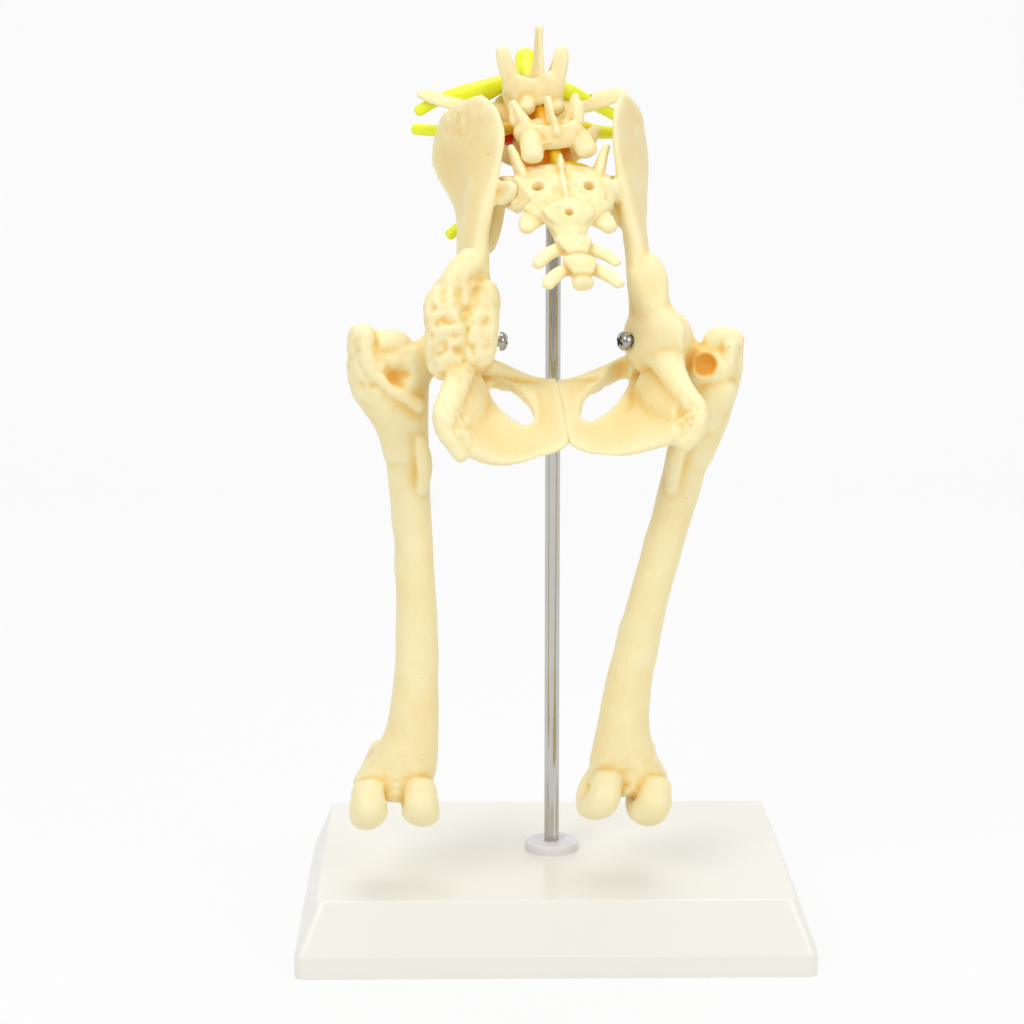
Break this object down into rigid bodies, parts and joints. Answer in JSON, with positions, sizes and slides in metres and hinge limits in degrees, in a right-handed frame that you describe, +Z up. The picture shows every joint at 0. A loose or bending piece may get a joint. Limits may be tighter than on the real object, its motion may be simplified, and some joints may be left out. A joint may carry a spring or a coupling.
{
  "type": "veterinary anatomy model of a dog's hip joints",
  "caption": "Cast-resin dog pelvis with sacrum, lumbar vertebrae, nerves and swinging thigh bones, held on a steel rod over a white plastic base.",
  "frame": {"origin": "middle of the base's underside, straight below the axis of the rod", "axes": "+X to the dog's right along the base's long side, +Y towards the dog's head end, +Z up along the rod"},
  "size_m": [0.2, 0.1508, 0.3566],
  "materials": {
    "bone_resin": "ivory cast resin, satin",
    "disc_resin": "amber resin, satin",
    "red_resin": "red paint, glossy",
    "nerve_resin": "lemon yellow flexible resin, satin",
    "white_plastic": "warm white moulded plastic, smooth",
    "collar_plastic": "white plastic",
    "polished_steel": "polished",
    "zinc_steel": "zinc plated",
    "screw_steel": "nickel plated"
  },
  "bodies": {
    "stand_and_pelvis": {"base": "white_plastic", "disc_herniation": "red_resin", "disc_l6_l7": "disc_resin", "disc_l7_s1": "disc_resin", "left_hip_bone": "bone_resin", "lumbar_vertebra_6": "bone_resin", "lumbar_vertebra_7": "bone_resin", "right_hip_bone": "bone_resin", "rod": "polished_steel", "rod_collar": "collar_plastic", "rod_nut": "zinc_steel", "rod_washer": "zinc_steel", "sacrum": "bone_resin", "spinal_nerves": "nerve_resin"},
    "right_leg": {"right_femur": "bone_resin", "right_hip_screw": "screw_steel"},
    "left_leg": {"left_femur": "bone_resin", "left_hip_screw": "screw_steel"}
  },
  "joints": [
    {"name": "right_hip_swing", "type": "hinge", "parent": "stand_and_pelvis", "child": "right_leg", "pos_m": [0.04145, -0.02951, 0.24], "axis": [0.8829, 0.4695, 0], "range_deg": [-25, 6]},
    {"name": "left_hip_swing", "type": "hinge", "parent": "stand_and_pelvis", "child": "left_leg", "pos_m": [-0.03825, -0.03649, 0.24], "axis": [0.9962, -0.0872, 0], "range_deg": [-25, 60]}
  ]
}
